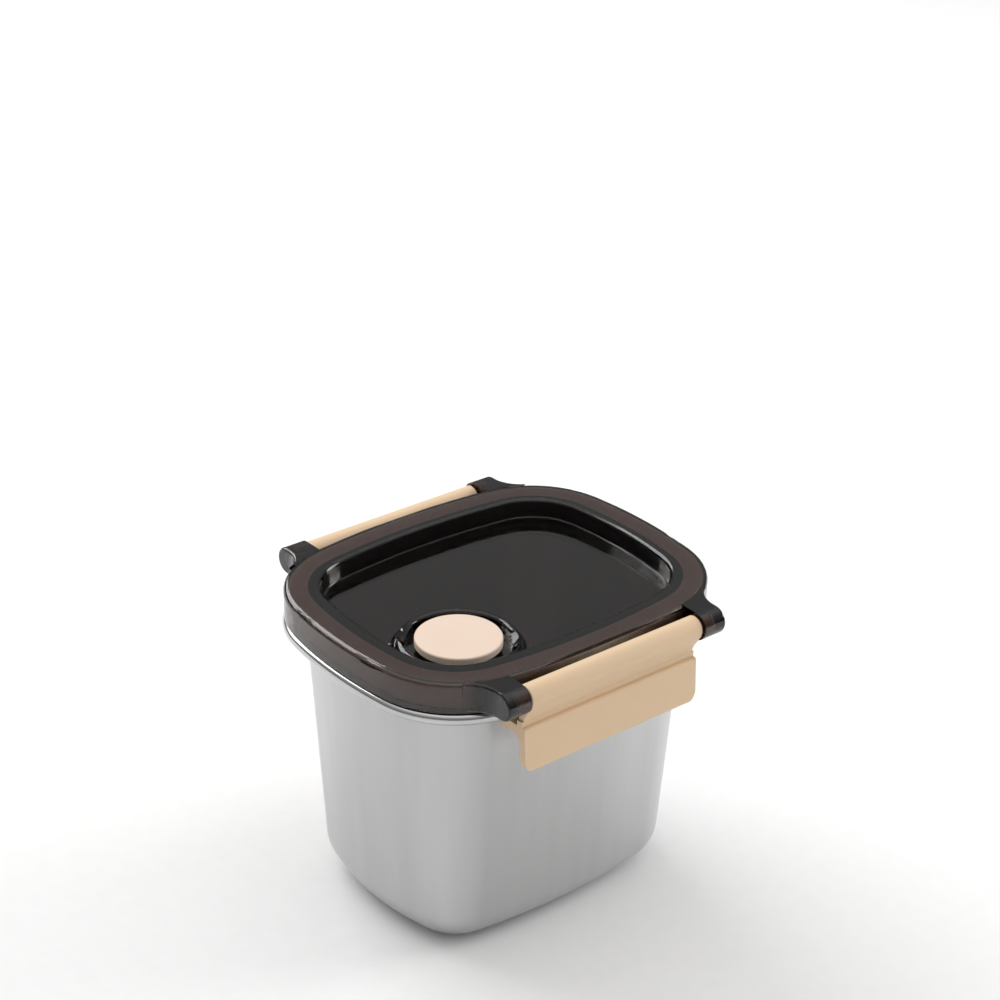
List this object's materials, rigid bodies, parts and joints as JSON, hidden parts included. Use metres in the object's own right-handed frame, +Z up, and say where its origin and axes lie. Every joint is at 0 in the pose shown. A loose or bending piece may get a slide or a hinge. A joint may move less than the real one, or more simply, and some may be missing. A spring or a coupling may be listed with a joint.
{
  "type": "food canister",
  "caption": "Rounded rectangular stainless food canister with a tinted clip-down lid, hinged side latches and a lift-up round vent button.",
  "frame": {"origin": "middle of the base, on the surface that the canister stands on", "axes": "+Z up, X along the longer side, front latch on -Y, vent button near the -X, -Y corner"},
  "size_m": [0.133, 0.124, 0.112],
  "materials": {
    "steel": "satin",
    "tinted_plastic": "gloss",
    "latch_plastic": "matt",
    "button_plastic": "matt",
    "seal_silicone": "matt"
  },
  "bodies": {
    "canister": {"canister_body": "steel"},
    "lid": {"lid_shell": "tinted_plastic", "lid_gasket": "seal_silicone"},
    "front_latch": {"front_latch": "latch_plastic"},
    "rear_latch": {"rear_latch": "latch_plastic"},
    "vent": {"vent_button": "button_plastic", "vent_seal": "seal_silicone"}
  },
  "joints": [
    {"name": "lid_lift", "type": "slide", "parent": "canister", "child": "lid", "axis": [0, 0, 1], "range_m": [0, 0.0209]},
    {"name": "front_latch_swing", "type": "hinge", "parent": "lid", "child": "front_latch", "pos_m": [0, -0.0573, 0.1069], "axis": [-1, 0, 0], "range_deg": [0, 180]},
    {"name": "rear_latch_swing", "type": "hinge", "parent": "lid", "child": "rear_latch", "pos_m": [0, 0.0573, 0.1069], "axis": [1, 0, 0], "range_deg": [0, 180]},
    {"name": "vent_pull", "type": "slide", "parent": "lid", "child": "vent", "axis": [0, 0, 1], "range_m": [0, 0.004]}
  ],
  "couplings": [
    {"joint": "front_latch_swing", "follows": "lid_lift", "rad_per_m": 150},
    {"joint": "rear_latch_swing", "follows": "lid_lift", "rad_per_m": 150}
  ]
}
